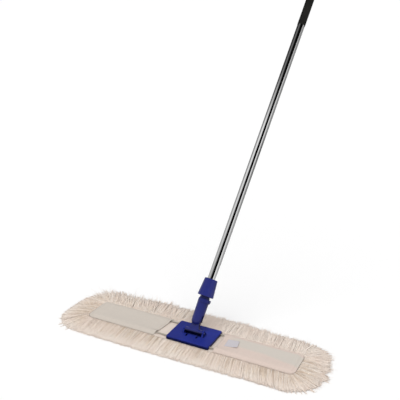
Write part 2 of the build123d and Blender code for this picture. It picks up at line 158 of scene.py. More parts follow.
# -------------------- node helpers
class Nodes:
    """A material's node tree, built with short calls."""

    def __init__(self, name):
        self.material = bpy.data.materials.new(name)
        self.material.use_nodes = True
        self.tree = self.material.node_tree
        self.shader = self.tree.nodes["Principled BSDF"]

    def add(self, kind, inputs=None, **settings):
        """A node with its settings and its inputs: values, or sockets to link."""
        node = self.tree.nodes.new(kind)
        for key, value in settings.items():
            setattr(node, key, value)
        for key, value in (inputs or {}).items():
            self.set(node, key, value)
        return node

    def set(self, node, key, value):
        if isinstance(value, bpy.types.NodeSocket):
            self.tree.links.new(value, node.inputs[key])
        else:
            node.inputs[key].default_value = value

    def object_place(self):
        """Object coordinates in metres."""
        return self.add("ShaderNodeTexCoord").outputs["Object"]

    def object_xyz(self):
        """The object coordinates one by one."""
        return self.add("ShaderNodeSeparateXYZ", {0: self.object_place()}).outputs

    def plain_normal(self):
        return self.add("ShaderNodeNewGeometry").outputs["Normal"]

    def place(self, scale=(1, 1, 1)):
        """Object coordinates in metres, scaled."""
        inputs = {"Vector": self.object_place(), "Scale": scale}
        return self.add("ShaderNodeMapping", inputs).outputs[0]

    def noise(self, scale, detail, vector=None):
        inputs = {"Scale": scale, "Detail": detail}
        inputs["Vector"] = self.place() if vector is None else vector
        return self.add("ShaderNodeTexNoise", inputs).outputs["Fac"]

    def wave(self, scale, direction, distortion):
        inputs = {"Scale": scale, "Distortion": distortion, "Vector": self.place()}
        return self.add(
            "ShaderNodeTexWave", inputs, wave_type="BANDS", bands_direction=direction
        ).outputs["Fac"]

    def attribute(self, name):
        return self.add("ShaderNodeAttribute", attribute_name=name).outputs["Fac"]

    def math(self, operation, a, b):
        return self.add("ShaderNodeMath", {0: a, 1: b}, operation=operation).outputs[0]

    def ramp(self, value, low, high, from_low=0.0, from_high=1.0):
        """From low to high while value runs from from_low to from_high."""
        inputs = {"Value": value, "From Min": from_low, "From Max": from_high}
        inputs.update({"To Min": low, "To Max": high})
        return self.add("ShaderNodeMapRange", inputs).outputs[0]

    def mix(self, share, a, b):
        """From colour a to colour b by share."""
        node = self.add("ShaderNodeMix", {0: share}, data_type="RGBA")
        for key, colour in ((6, a), (7, b)):
            self.set(node, key, (*colour, 1) if isinstance(colour, tuple) else colour)
        return node.outputs[2]

    def bump(self, height, distance, strength, normal=None):
        inputs = {"Height": height, "Distance": distance, "Strength": strength}
        if normal is not None:
            inputs["Normal"] = normal
        return self.add("ShaderNodeBump", inputs).outputs["Normal"]

    def shade(self, **inputs):
        """Sets the shader's sockets by name, base_color for Base Color."""
        for key, value in inputs.items():
            name = key.replace("_", " ").title().replace("Ior", "IOR")
            if isinstance(value, tuple):
                value = (*value, 1)
            self.set(self.shader, name, value)
        return self.material


# -------------------- materials
def plastic(name, colour, dark, roughness, gloss, under=1.0, painted_shade_left=0.0):
    """Moulded plastic with a fine grain, lighter rubbed edges (partly wear, partly a painted
    highlight) and painted shade in the corners. Faces that look sideways or down darken to a
    share (under) of the colour, painted shade, and the left side may be darker, painted shade too."""
    n = Nodes(name)
    mottle = n.noise(22, 3)
    base = n.mix(n.ramp(mottle, 0.0, 0.75, 0.35, 0.75), colour, dark)
    # painted shade: the left side darkens towards the dark colour
    if painted_shade_left > 0.0:
        base = n.mix(n.ramp(n.object_xyz()["X"], painted_shade_left, 0.0, -0.06, 0.02), base, dark)
    # painted shade: faces that look sideways or down darken
    if under < 1.0:
        facing = n.add("ShaderNodeSeparateXYZ", {0: n.plain_normal()}).outputs["Z"]
        base = n.mix(n.ramp(facing, 1.0, 0.0, 0.10, 0.80), base, tinted(colour, under))

    # painted shade: darker in corners and gaps, where ambient occlusion finds them
    corner = n.add("ShaderNodeAmbientOcclusion", {"Distance": 0.010}, samples=8).outputs["AO"]
    base = n.mix(n.ramp(corner, 0.75, 0.0, 0.45, 0.92), base, tinted(dark, 0.15))

    # lighter rubbed edges: partly wear, partly a painted highlight along the rims
    rounded = n.add("ShaderNodeBevel", {"Radius": 0.0009}, samples=6).outputs["Normal"]
    turn = n.add("ShaderNodeVectorMath", {0: rounded, 1: n.plain_normal()}, operation="DOT_PRODUCT")
    edge = n.ramp(turn.outputs["Value"], 1.0, 0.0, 0.86, 0.995)
    edge_wear_and_highlight = n.math("MULTIPLY", edge, n.ramp(n.noise(160, 4), 0.0, 1.0, 0.42, 0.62))
    worn_and_highlit = tuple(c * 1.5 + 0.035 for c in colour)
    base = n.mix(n.math("MULTIPLY", edge_wear_and_highlight, 0.6), base, worn_and_highlit)

    grain = n.noise(900, 2)
    rough = n.ramp(grain, roughness - 0.05, roughness + 0.06)
    rough = n.math("ADD", rough, n.math("MULTIPLY", edge_wear_and_highlight, 0.12))
    normal = n.bump(grain, 0.00006, 0.6, rounded)
    return n.shade(base_color=base, roughness=rough, normal=normal, specular_ior_level=gloss)


def metal(name, colour, roughness, metallic=1.0):
    """Bare or plated metal with faint draw lines and hazy patches."""
    n = Nodes(name)
    haze = n.noise(30, 3)
    scratch = n.noise(900, 2, n.place((1, 0.15, 0.15)))
    base = n.mix(n.ramp(haze, 0.0, 0.35), colour, tinted(colour, 0.86))
    uneven = n.math("ADD", n.math("MULTIPLY", haze, 0.6), n.math("MULTIPLY", scratch, 0.4))
    rough = n.ramp(uneven, roughness * 0.7, roughness * 1.5, 0.3, 0.7)
    normal = n.bump(scratch, 0.00002, 0.35)
    return n.shade(base_color=base, roughness=rough, normal=normal, metallic=metallic)


def grip_rubber(name):
    """A satin black sleeve with a pebbled skin, dulled where the hand rubs it."""
    n = Nodes(name)
    inputs = {"Vector": n.place(), "Scale": 900.0}
    pebble = n.add("ShaderNodeTexVoronoi", inputs).outputs["Distance"]
    rub = n.noise(28, 3)
    base = n.mix(n.ramp(rub, 0.0, 0.8, 0.4, 0.7), BLACK, BLACK_RUBBED)
    rough = n.ramp(rub, 0.42, 0.58, 0.35, 0.7)
    normal = n.bump(pebble, 0.00008, 0.5)
    return n.shade(base_color=base, roughness=rough, normal=normal, specular_ior_level=0.15)


def painted_fold_shade(n):
    """A soft stripe of painted shade along the back half of the right pocket, wider at its
    outer end: 0 to 1.
    """
    where = n.object_xyz()
    x, y = where["X"], where["Y"]
    widening = n.ramp(x, 0.0, 0.014, 0.20, 0.28)
    front = n.ramp(n.math("ADD", y, widening), 0.0, 1.0, -0.006, 0.004)
    back = n.ramp(y, 1.0, 0.0, 0.030, 0.037)
    inner = n.ramp(x, 0.0, 1.0, 0.085, 0.115)
    return n.math("MULTIPLY", n.math("MULTIPLY", front, back), inner)


def cloth(name, colour, threads=1150.0, depth=0.00016, slub_tint=0.86, fold_shade_colour=None):
    """Plain-weave cotton: crossing threads with slubs, soft stains, painted shade between the
    threads, a stripe of painted shade where one is given, and a little sheen.
    """
    n = Nodes(name)
    fuzz = n.noise(260, 2)
    warp = n.wave(threads / (2 * math.pi), "X", 0.6)
    weft = n.wave(threads / (2 * math.pi), "Y", 0.6)
    over = n.math("MULTIPLY", warp, weft)
    under = n.math("MULTIPLY", n.math("SUBTRACT", 1.0, warp), n.math("SUBTRACT", 1.0, weft))
    weave = n.math("ADD", over, under)
    slub_x = n.noise(70, 3, n.place((0.25, 14, 1)))
    slub_y = n.noise(70, 3, n.place((14, 0.25, 1)))
    slub = n.math("MULTIPLY", n.math("ADD", slub_x, slub_y), 0.5)
    stain = n.noise(14, 3)
    base = n.mix(n.ramp(slub, 0.0, 0.6, 0.38, 0.66), colour, tinted(colour, slub_tint))
    base = n.mix(n.ramp(stain, 0.0, 0.30, 0.45, 0.75), base, tinted(colour, 0.90))
    # painted shade: a greyer stripe along the right pocket's back half
    if fold_shade_colour is not None:
        base = n.mix(n.math("MULTIPLY", painted_fold_shade(n), 0.9), base, fold_shade_colour)
    # painted shade between the threads: darker where the weave lies low
    base = n.mix(n.ramp(weave, 0.22, 0.0, 0.0, 0.55), base, tinted(colour, 0.72))
    height = n.math("ADD", n.math("MULTIPLY", weave, 0.7), n.math("MULTIPLY", fuzz, 0.3))
    return n.shade(
        base_color=base, roughness=n.ramp(slub, 0.86, 0.97), normal=n.bump(height, depth, 0.7),
        specular_ior_level=0.18, sheen_weight=0.12, sheen_roughness=0.5
    )


def yarn_material(name, colour):
    """Soft cotton yarn with a fibrous surface. Each strand's tone runs from -0.8, pale, by way of
    0, the colour itself, to 1, deep: partly a random tone of its own, partly painted light
    (pale) and painted shade (deep)."""
    n = Nodes(name)
    tone_and_shade = n.attribute("tone_and_shade")
    fibre = n.noise(1500, 2)
    patch = n.noise(16, 2)
    warm = tinted(colour, (0.98, 0.925, 0.85))
    # the deep colour is partly painted shade, the pale one partly painted light
    deep_and_shaded = tinted(colour, (0.74, 0.65, 0.56))
    pale_and_lit = tinted(colour, (1.12, 1.105, 1.11))
    pink = tinted(colour, (0.98, 0.93, 0.91))
    base = n.mix(n.ramp(tone_and_shade, 0.0, 1.0, 0.0, 0.55), colour, warm)
    base = n.mix(n.ramp(tone_and_shade, 0.0, 1.0, 0.55, 1.0), base, deep_and_shaded)
    base = n.mix(n.ramp(tone_and_shade, 1.0, 0.0, -0.8, 0.0), base, pale_and_lit)
    base = n.mix(n.ramp(patch, 0.0, 0.8, 0.40, 0.68), base, pink)
    base = n.mix(n.ramp(fibre, 0.0, 0.25, 0.45, 0.75), base, tinted(colour, 0.78))
    return n.shade(
        base_color=base, roughness=n.ramp(fibre, 0.85, 0.98), normal=n.bump(fibre, 0.00035, 0.6),
        specular_ior_level=0.15, sheen_weight=0.15, sheen_roughness=0.6
    )


# -------------------- mesh helpers
def mesh_piece(name, points, faces, material, attributes=None):
    """A smooth mesh object from points and faces, with float attributes on its points."""
    mesh = bpy.data.meshes.new(name)
    mesh.from_pydata(np.asarray(points, float).tolist(), [], [list(map(int, f)) for f in faces])
    mesh.validate()
    for key, values in (attributes or {}).items():
        layer = mesh.attributes.new(key, "FLOAT", "POINT")
        layer.data.foreach_set("value", np.asarray(values, np.float32))
    mesh.shade_smooth()
    mesh.materials.append(material)
    piece = bpy.data.objects.new(name, mesh)
    bpy.context.scene.collection.objects.link(piece)
    return piece


def smoothstep(x, low, high):
    t = np.clip((x - low) / (high - low), 0, 1)
    return t * t * (3 - 2 * t)


def unit(v):
    return v / np.maximum(np.linalg.norm(v, axis=-1, keepdims=True), 1e-12)


YARN_SIDES = 6          # three plies: every other corner of the section stands proud
PLY = 0.17              # how proud, as a share of the radius


def tubes(paths, radii, phase, turn):
    """Points and faces of many twisted tubes. paths is (strands, rings, 3)."""
    count, rings, _ = paths.shape
    corner = np.arange(YARN_SIDES)
    along = unit(np.gradient(paths, axis=1))
    reference = np.where(np.abs(along[..., 2:3]) > 0.9, [1.0, 0, 0], [0, 0, 1.0])
    side = unit(np.cross(along, reference))
    lift = np.cross(side, along)
    angle = (
        phase[:, None, None]
        + turn * np.arange(rings)[None, :, None]
        + 2 * math.pi * corner[None, None, :] / YARN_SIDES
    )
    swell = 1 + PLY * np.where(corner % 2 == 0, 1.0, -1.0)
    reach = radii[..., None] * swell
    points = (
        paths[:, :, None, :]
        + (reach * np.cos(angle))[..., None] * side[:, :, None, :]
        + (reach * np.sin(angle))[..., None] * lift[:, :, None, :]
    )
    after = (corner + 1) % YARN_SIDES
    strand = np.arange(count)[:, None] * rings
    ring = (strand + np.arange(rings - 1)[None, :]).reshape(-1, 1) * YARN_SIDES
    quads = np.stack(
        [ring + corner, ring + after, ring + YARN_SIDES + after, ring + YARN_SIDES + corner], -1
    )
    first = strand * YARN_SIDES + corner[::-1]
    last = (strand + rings - 1) * YARN_SIDES + corner
    return points.reshape(-1, 3), list(quads.reshape(-1, 4)) + list(first) + list(last)


def sheet_piece(name, upper, thickness, material, flipped=False):
    """A closed sheet under a grid of points, upper (rows, columns, 3). Flipped turns its
    faces over, for a grid whose rows run towards -X."""
    rows, columns = upper.shape[:2]
    total = rows * columns
    upper = upper.reshape(-1, 3)
    points = np.concatenate([upper, upper - np.array([0, 0, thickness])])
    index = np.arange(total).reshape(rows, columns)
    quads = np.stack([index[:-1, :-1], index[1:, :-1], index[1:, 1:], index[:-1, 1:]], -1)
    quads = quads.reshape(-1, 4)
    rim = np.concatenate([index[:, 0], index[-1, 1:], index[-2::-1, -1], index[0, -2:0:-1]])
    after = np.roll(rim, -1)
    walls = np.stack([rim, rim + total, after + total, after], -1)
    faces = list(quads) + list(quads[:, ::-1] + total) + list(walls)
    if flipped:
        faces = [face[::-1] for face in faces]
    return mesh_piece(name, points, faces, material)


# -------------------- the head's outline
SPAN_X = RIGHT_END - LEFT_END - 2 * CANVAS_CORNER
SPAN_Y = BACK - FRONT - 2 * CANVAS_CORNER
ARC = math.pi / 2 * CANVAS_CORNER
PERIMETER = 2 * (SPAN_X + SPAN_Y) + 4 * ARC


def edge_of_canvas(s):
    """Point and outward normal at arc length s, from the front left, seen from above."""
    s = np.mod(s, PERIMETER)
    r = CANVAS_CORNER
    # A straight leg has its start, its way and the way it faces; an arc its centre and angle.
    legs = [
        (SPAN_X, (LEFT_END + r, FRONT), (1, 0), (0, -1)),
        (ARC, (RIGHT_END - r, FRONT + r), None, -math.pi / 2),
        (SPAN_Y, (RIGHT_END, FRONT + r), (0, 1), (1, 0)),
        (ARC, (RIGHT_END - r, BACK - r), None, 0.0),
        (SPAN_X, (RIGHT_END - r, BACK), (-1, 0), (0, 1)),
        (ARC, (LEFT_END + r, BACK - r), None, math.pi / 2),
        (SPAN_Y, (LEFT_END, BACK - r), (0, -1), (-1, 0)),
        (ARC, (LEFT_END + r, FRONT + r), None, math.pi),
    ]
    point, normal = np.zeros((len(s), 2)), np.zeros((len(s), 2))
    start = 0.0
    for length, origin, way, facing in legs:
        here = (s >= start) & (s < start + length + 1e-9)
        t = s[here] - start
        if way is None:
            a = facing + t / r
            out = np.stack([np.cos(a), np.sin(a)], -1)
            point[here] = np.array(origin) + r * out
            normal[here] = out
        else:
            point[here] = np.array(origin) + t[:, None] * np.array(way)
            normal[here] = facing
        start += length
    return point, normal


def inside_canvas(x, y):
    """How far a point lies in from the canvas's outline."""
    r = CANVAS_CORNER
    qx = np.abs(x - (LEFT_END + RIGHT_END) / 2) - ((RIGHT_END - LEFT_END) / 2 - r)
    qy = np.abs(y - MIDDLE_Y) - (WIDTH / 2 - r)
    outside = np.hypot(np.maximum(qx, 0), np.maximum(qy, 0))
    return r - outside - np.minimum(np.maximum(qx, qy), 0)


def canvas_top_at(x):
    """The base canvas dips where the centre plate's keeper lies on it."""
    return MIDDLE_TOP + (END_TOP - MIDDLE_TOP) * smoothstep(np.abs(x), PLATE_END, DIP_END)


def drift(s, seed, waves):
    """A smooth random curve round the outline: waves are (cycles, size)."""
    rng = np.random.default_rng(seed)
    value = np.zeros_like(s)
    for cycles, size in waves:
        value += size * np.sin(2 * math.pi * cycles * s / PERIMETER + rng.uniform(0, 2 * math.pi))
    return value


# -------------------- yarn fringe
FILL_LAYERS = 4         # fine strands, from near the floor to near the top
FILL_SPACING = 0.0026
STRAND_RADIUS = 0.0015
TOP_LAYERS = 2          # thicker strands over them
TOP_SPACING = 0.0046
TOP_RADIUS = 0.0018
TOP_DROP = 0.11         # how much lower each further layer of them lies
TOP_JITTER = 0.16
WISPS = 900             # stray fibres
WISP_RADIUS = 0.0003
WISP_WILD = 2.4         # how much more than others each goes its own way
WISP_FLECKS = 1.3       # how dark those at the front are near their roots
FILL_TIPS = (1.0, 0.84, 0.14)  # where the strands end: see strand_lengths
TOP_TIPS = (0.94, 0.84, 0.30)
WISP_TIPS = (1.02, 0.86, 0.36)
STRAND_RINGS = 15
SEWN_IN = 0.0015        # the strands start this far inside the canvas's edge
ROOT_GAP = 0.0004       # and this far under it
ROOT_RISE = 0.0016      # but this much higher at the ends and on the far side
GROOVE = 0.0032         # from the edge to where the strands reach their full height
TUFT = 0.0080           # length of edge whose strands hold together
BROAD_TUFT = 0.017
TUFT_TRAITS = np.random.default_rng(5).uniform(0, 1, (397, 3))
CORNER_CROWDING = 2.6   # strands for each one of the straight edge, round the corners
STRAY_SHARE = 0.08      # of the strands at the front corners, and how much longer they are
STRAY_LENGTH = 0.20
FLECKED_SHARE = 0.6     # of the stray fibres in front
ZONE_FACING = 0.72      # strands that face more to the front or back than this are not an end's
LEAN_SPREAD = 0.019     # how much strands differ: their lean, in radians,
LENGTH_SPREAD = 0.012   # their length, as a share of the fringe's reach,
HEIGHT_SPREAD = 0.0003  # and their height
SMALL_WAVES = (0.0001, 0.0007)
CURL = 0.0020           # how far to the side their tips curl
TUFT_LIFT = 0.008       # how high the tips of a ragged tuft may lift


def reach_at(point, normal):
    """How far the fringe reaches out, by the way it faces: worn shorter towards the right."""
    along = point[:, 0] / RIGHT_END
    x, y = normal[:, 0], normal[:, 1]
    worn = 0.96 - 0.10 * smoothstep(along, -0.7, 0.7)
    thin = 1 - 0.12 * smoothstep(along, 0.2, 0.8)
    across = np.where(y < 0, REACH_FRONT * worn, REACH_BACK * thin)
    ends = np.where(x < 0, REACH_LEFT, REACH_RIGHT)
    corner = 1 - 0.16 * np.clip(-x * y, 0, 1)
    return (across * y**2 + ends * x**2) * corner


def combing(point, normal):
    """How the strands lean along the edge, in radians: they are swept to the near right."""
    front = np.clip(-normal[:, 1], 0, 1)
    back = np.clip(normal[:, 1], 0, 1)
    end_left = np.clip(-normal[:, 0], 0, 1)
    along = point[:, 0] / RIGHT_END
    back_lean = 0.10 + 0.42 * smoothstep(-along, 0.25, 0.90)
    return front * 0.36 * smoothstep(along, -0.1, 0.9) + back * back_lean + end_left * 0.20


def strand_places(rng, spacing, jitter, phase):
    """Arc lengths at which strands are sewn on: closer together round the corners."""
    s = np.linspace(0, PERIMETER, 4000)
    _, normal = edge_of_canvas(s)
    corner = np.minimum(np.abs(normal[:, 0]), np.abs(normal[:, 1])) > 0.02
    total = np.cumsum(np.where(corner, CORNER_CROWDING, 1.0))
    count = int(total[-1] / len(s) * PERIMETER / spacing)
    share = (np.arange(count) + phase + rng.uniform(-jitter, jitter, count)) / count
    return np.interp(np.mod(share, 1) * total[-1], total, s)


class Roots:
    """Where one layer's strands are sewn on, and what their place makes of them. far_side,
    left_end, right_end, front_corner, loose (the far left) and ragged run from 0 to 1."""

    def __init__(self, rng, spacing, jitter, phase):
        self.s = strand_places(rng, spacing, jitter, phase)
        self.count = len(self.s)
        self.point, self.normal = edge_of_canvas(self.s)
        self.reach = reach_at(self.point, self.normal)
        self.along = self.point[:, 0] / RIGHT_END
        self.far_side = smoothstep(self.normal[:, 1], -0.5, 0.6)
        self.left_end = np.clip(-self.normal[:, 0], 0, 1) ** 2
        self.right_end = np.clip(self.normal[:, 0], 0, 1) ** 2
        self.front_corner = 2 * np.abs(self.normal[:, 0]) * np.clip(-self.normal[:, 1], 0, 1)
        self.loose = self.far_side * smoothstep(-self.along, 0.1, 0.6) * (1 - self.left_end)
        self.ragged = np.clip(
            0.10 + 0.90 * self.far_side + 0.45 * self.right_end - 0.45 * self.left_end, 0, 1
        )
        place = self.s / TUFT + 0.8 * np.sin(self.s * 31) + 0.5 * np.sin(self.s * 67)
        self.tuft_length, self.tuft_lift, self.tuft_hold = self.traits(place).T
        self.to_tuft = np.floor(place) + 0.5 - place
        self.broad = self.traits(self.s / BROAD_TUFT)[:, 0] - 0.5

    @staticmethod
    def traits(place):
        """The random traits of the tuft at each place, counted in tufts."""
        return TUFT_TRAITS[np.floor(place).astype(int) % len(TUFT_TRAITS)]


def strand_leans(rng, at, wild):
    """How each strand leans along the edge, in radians."""
    lean = combing(at.point, at.normal) + drift(at.s, 11, [(9, 0.02), (19, 0.010), (37, 0.004)])
    return lean + rng.normal(0, LEAN_SPREAD, at.count) * wild * (1 + 1.1 * at.ragged + 2.2 * at.loose)


def strand_lengths(rng, at, wild, tips):
    """Strand lengths. tips are shares of the fringe's reach: where its edge is even, the
    shortest where it is ragged, and how much the longest there pass that."""
    even, least, more = tips
    uneven = drift(at.s, 31, [(23, 0.006), (47, 0.008), (83, 0.008)])
    uneven += rng.normal(0, LENGTH_SPREAD, at.count) * wild
    own = rng.uniform(0, 1, at.count) ** 2
    stands_out = least + more * (own * (0.4 + 0.3 * at.loose) + 0.45 * at.tuft_length)
    stands_out += 0.24 * at.broad * at.right_end + at.loose * (0.22 * own**2 - 0.09)
    length = at.reach * (even * (1 - at.ragged) + stands_out * at.ragged + uneven)
    stray = rng.uniform(0, 1, at.count) < STRAY_SHARE
    return length * (1 + STRAY_LENGTH * at.front_corner * stray)


def strand_courses(rng, at, wild, lean, length, u):
    """Each strand seen from above: its points, how far out they lie and its small waves."""
    tangent = np.stack([-at.normal[:, 1], at.normal[:, 0]], -1)
    out = length[:, None] * np.cos(lean)[:, None] * u - SEWN_IN
    cycles = rng.uniform(1.0, 2.6, at.count)[:, None]
    wave = np.sin(cycles * 2 * math.pi * u + rng.uniform(0, 6.28, at.count)[:, None])
    size = rng.uniform(*SMALL_WAVES, at.count) * wild * (0.6 + 0.6 * at.ragged)
    wave *= size[:, None] * u
    curl = rng.normal(0, CURL, at.count) * wild * (0.4 * at.ragged + 0.6 * at.loose)
    curl = curl[:, None] * u**3
    gather = TUFT * at.to_tuft * at.ragged * (0.20 + 0.40 * at.loose) * at.tuft_hold
    sideways = (length * np.sin(lean))[:, None] * u**1.3 + gather[:, None] * u**4 + wave + curl
    points = (
        at.point[:, None, :]
        + out[..., None] * at.normal[:, None, :]
        + sideways[..., None] * tangent[:, None, :]
    )
    return points, out, wave


def strand_heights(rng, at, wild, level, thickness, radius, out, wave, u):
    """Heights along each strand: from under the canvas's edge up to its layer, then down
    towards the floor at its tip, where some tufts lift."""
    share = np.clip(out / at.reach[:, None], 0, 1)
    ridge = FRINGE_ROOT * (1 + drift(at.s, 47, [(17, 0.02), (43, 0.03)]))[:, None]
    slope = (1.45 + 1.4 * at.far_side)[:, None]
    top = FRINGE_TIP + (ridge - FRINGE_TIP) * (1 - share**slope)
    height = radius + np.maximum(top - 2 * radius, 0) * level
    height += rng.normal(0, HEIGHT_SPREAD, at.count)[:, None] + 0.5 * wave
    own = rng.uniform(0, 1, at.count) ** 3
    lift = TUFT_LIFT * at.ragged * level * (0.4 * at.tuft_lift**2 + 0.6 * own) * wild
    height += (lift * (0.6 + 0.4 * at.loose))[:, None] * u**3

    tucked = canvas_top_at(at.point[:, :1]) - CANVAS_THICKNESS - thickness - ROOT_GAP
    raised = np.clip(at.left_end + at.right_end + at.far_side, 0, 1)[:, None]
    tucked += ROOT_RISE * raised * (level > 0.85)
    rise = np.clip(1 - out / GROOVE, 0, 1) ** 1.5
    height = height * (1 - rise) + np.minimum(height, tucked) * rise
    return np.maximum(height, radius * 1.2)


def strand_tones_and_shades(rng, at, level, flecks, u):
    """Tones along each strand, partly random, partly painted light and shade: deeper low down
    and near the root (painted shade), deeper at the left end, paler away from the root, on the
    far side towards the right and at the tip (painted light), with dark flecks near some roots."""
    own = rng.normal(0, 0.40, at.count) + drift(at.s, 63, [(31, 0.05)])
    near_root = (1 - smoothstep(u, 0.25, 0.85)) * (1 - 0.6 * at.far_side)[:, None]
    # painted shade: deeper for lower layers and near the root, where the random spread is wider too
    tone_and_shade = 0.26 + own[:, None] * (0.35 + 0.95 * near_root) + (1 - level) * (0.22 + 0.55 * near_root)
    tone_and_shade += 0.12 * at.left_end[:, None]
    # painted light: paler on the far side towards the right
    tone_and_shade -= 0.46 * (at.far_side * smoothstep(at.along, -0.4, 0.3))[:, None]
    # painted light: paler away from the root and at the tip
    tone_and_shade = np.clip(tone_and_shade - 0.25 * (1 - near_root) * (1 - u), -0.8, 1) * (1 - u**6) - 0.7 * u**6
    flecked = rng.uniform(0, 1, at.count) < FLECKED_SHARE
    return tone_and_shade + (flecks * (1 - at.far_side) * flecked)[:, None] * near_root


def strand_layer(rng, level, spacing, thickness, tips, wild=1.0, jitter=0.45, phase=0.0, flecks=0.0):
    """Centre lines, radii, tones and roots of one layer of strands, from low (0) to high (1).
    wild: how much each strand goes its own way."""
    at = Roots(rng, spacing, jitter, phase)
    lean = strand_leans(rng, at, wild)
    length = strand_lengths(rng, at, wild, tips)
    u = np.linspace(0, 1, STRAND_RINGS)[None, :]
    taper = np.interp(u, [0, 0.10, 0.45, 0.82, 1], [0.70, 0.88, 0.92, 1.02, 0.30])
    radius = thickness * rng.uniform(0.86, 1.10, at.count)[:, None] * taper
    points, out, wave = strand_courses(rng, at, wild, lean, length, u)
    height = strand_heights(rng, at, wild, level, thickness, radius, out, wave, u)
    tone_and_shade = strand_tones_and_shades(rng, at, level, flecks, u)
    lines = np.concatenate([points, height[..., None]], -1)
    return lines, radius, tone_and_shade, np.concatenate([at.point, at.normal], -1)


def fringe_strands():
    """The fringe's strands: fine ones as fill, thicker ones on top, and stray fibres."""
    rng = np.random.default_rng(7)
    fill = [
        strand_layer(rng, level, FILL_SPACING, STRAND_RADIUS, FILL_TIPS)
        for level in np.linspace(0.25, 0.92, FILL_LAYERS)
    ]
    top = [
        strand_layer(
            rng, 1.0 - TOP_DROP * k, TOP_SPACING, TOP_RADIUS, TOP_TIPS,
            jitter=TOP_JITTER, phase=k / TOP_LAYERS
        )
        for k in range(TOP_LAYERS)
    ]
    wisps = strand_layer(
        rng, 1.0, PERIMETER / WISPS, WISP_RADIUS, WISP_TIPS, wild=WISP_WILD, flecks=WISP_FLECKS
    )
    return [np.concatenate(parts) for parts in zip(*fill, *top, wisps)]


def yarn_piece(name, lines, radii, tones_and_shades, material, seed, turn=0.72):
    """One mesh of many strands, each with its own tone, partly painted light and shade,
    twisted by turn radians a ring.
    """
    phase = np.random.default_rng(seed).uniform(0, 2 * math.pi, len(lines))
    points, faces = tubes(lines, radii, phase, turn)
    tone_and_shade = np.broadcast_to(tones_and_shades.reshape(len(lines), -1), radii.shape).ravel()
    tone_and_shade = np.repeat(tone_and_shade, YARN_SIDES)
    return mesh_piece(name, points, faces, material, attributes={"tone_and_shade": tone_and_shade})


def bend_head(piece, side):
    """Bakes a piece of the head's placement into its mesh. The side (-1 or 1) is not used."""
    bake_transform(piece)


def add_fringe(material):
    """The fringe in six pieces: front, back and end of each half. Returns them."""
    lines, radii, tones_and_shades, roots = fringe_strands()
    facing = roots[:, 3]
    zones = {
        "front": facing < -ZONE_FACING,
        "back": facing > ZONE_FACING,
        "end": np.abs(facing) <= ZONE_FACING,
    }
    made = []
    for side, word, *_ in HALVES:
        for zone, mask in zones.items():
            pick = (roots[:, 0] * side >= 0) & mask
            piece = yarn_piece(
                f"fringe_{word}_{zone}_yarn", lines[pick], radii[pick], tones_and_shades[pick], material,
                len(made)
            )
            if zone == "front":
                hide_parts(f"fringe_{word}", "fringe_centre")
            bend_head(piece, side)
            made.append(piece)
    return made


# -------------------- yarn rows under the head
ROWS = 6
ROW_INSET = 0.008       # the outer rows lie this far in from the canvas's edges
ROW_END = 0.006         # and end this far from its ends
TUFT_STEP = 0.0042      # from one tuft to the next along a row
TUFT_RINGS = 9
TUFT_HALF_LENGTH = (0.012, 0.019)
TUFT_INSET = (0.003, 0.002)  # tufts stay this far inside the canvas's ends and long edges


def add_rows(material):
    """Loose yarn tufts in rows, covering the whole underside. Returns the two pieces."""
    rng = np.random.default_rng(19)
    u = np.linspace(-1, 1, TUFT_RINGS)[None, :]
    lowest = 1.35 * STRAND_RADIUS
    made = []
    for side, word, end, *_ in HALVES:
        length = abs(end) - ROW_END
        across = np.linspace(FRONT + ROW_INSET, BACK - ROW_INSET, ROWS)
        steps = int(length / TUFT_STEP)
        x, y = np.meshgrid((np.arange(steps) + 0.5) * length / steps * side, across)
        x = x.ravel() + rng.normal(0, 0.0012, x.size)
        y = y.ravel() + rng.normal(0, 0.002, y.size)
        count = x.size
        turn = rng.normal(math.pi / 2, 0.42, count)[:, None]
        reach = rng.uniform(*TUFT_HALF_LENGTH, count)[:, None]
        bow = rng.normal(0, 0.003, count)[:, None] * (1 - u**2)
        px = x[:, None] + np.cos(turn) * reach * u - np.sin(turn) * bow
        py = y[:, None] + np.sin(turn) * reach * u + np.cos(turn) * bow
        px = np.clip(px, *sorted((0, end - side * TUFT_INSET[0])))
        py = np.clip(py, FRONT + TUFT_INSET[1], BACK - TUFT_INSET[1])
        ceiling = canvas_top_at(px) - CANVAS_THICKNESS - STRAND_RADIUS - CLEARANCE
        belly = rng.uniform(0.0, 0.45, count)[:, None]
        pz = lowest + (ceiling - lowest) * np.clip(belly + (0.9 - belly) * u**4, 0, 1)
        lines = np.stack([px, py, pz], -1)
        radii = STRAND_RADIUS * rng.uniform(0.85, 1.1, count)[:, None] * np.ones_like(u)
        tones_and_shades = np.clip(rng.normal(0.5, 0.25, count), 0, 1)
        piece = yarn_piece(f"yarn_rows_{word}_tufts", lines, radii, tones_and_shades, material, 50 + side)
        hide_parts(f"yarn_rows_{word}", "yarn_rows_centre")
        bend_head(piece, side)
        made.append(piece)
    return made


# -------------------- canvas, pockets and hems
HEM = 0.0078            # width of the turned hem along the canvas's edges
STITCH_LINE = 0.0042    # in from the edge
EDGE_STITCH_LINE = 0.0025  # the same on the base canvas, between the pockets
STITCH_LENGTH = 0.0030
STITCH_GAP = 0.0013
THREAD_RADIUS = 0.00032
GRID = 0.0026
BASE_DROP = 0.0002      # the base canvas lies this far below its solid's top
SLEEVE_INSET = 0.0002   # a pocket's edge lies this far inside the base canvas's
MOUTH_SEAM_INSET = 0.007  # the stitching along its mouth stops this far from its sides
POCKET_SEED = 80        # plus the side: the label lies on the right pocket's own ripples


def half_width(x):
    """Half the canvas's width at x, with its rounded corners."""
    r = CANVAS_CORNER
    past = np.maximum(np.maximum(LEFT_END + r - x, x - (RIGHT_END - r)), 0)
    return WIDTH / 2 - r + np.sqrt(np.maximum(r * r - past**2, 0))


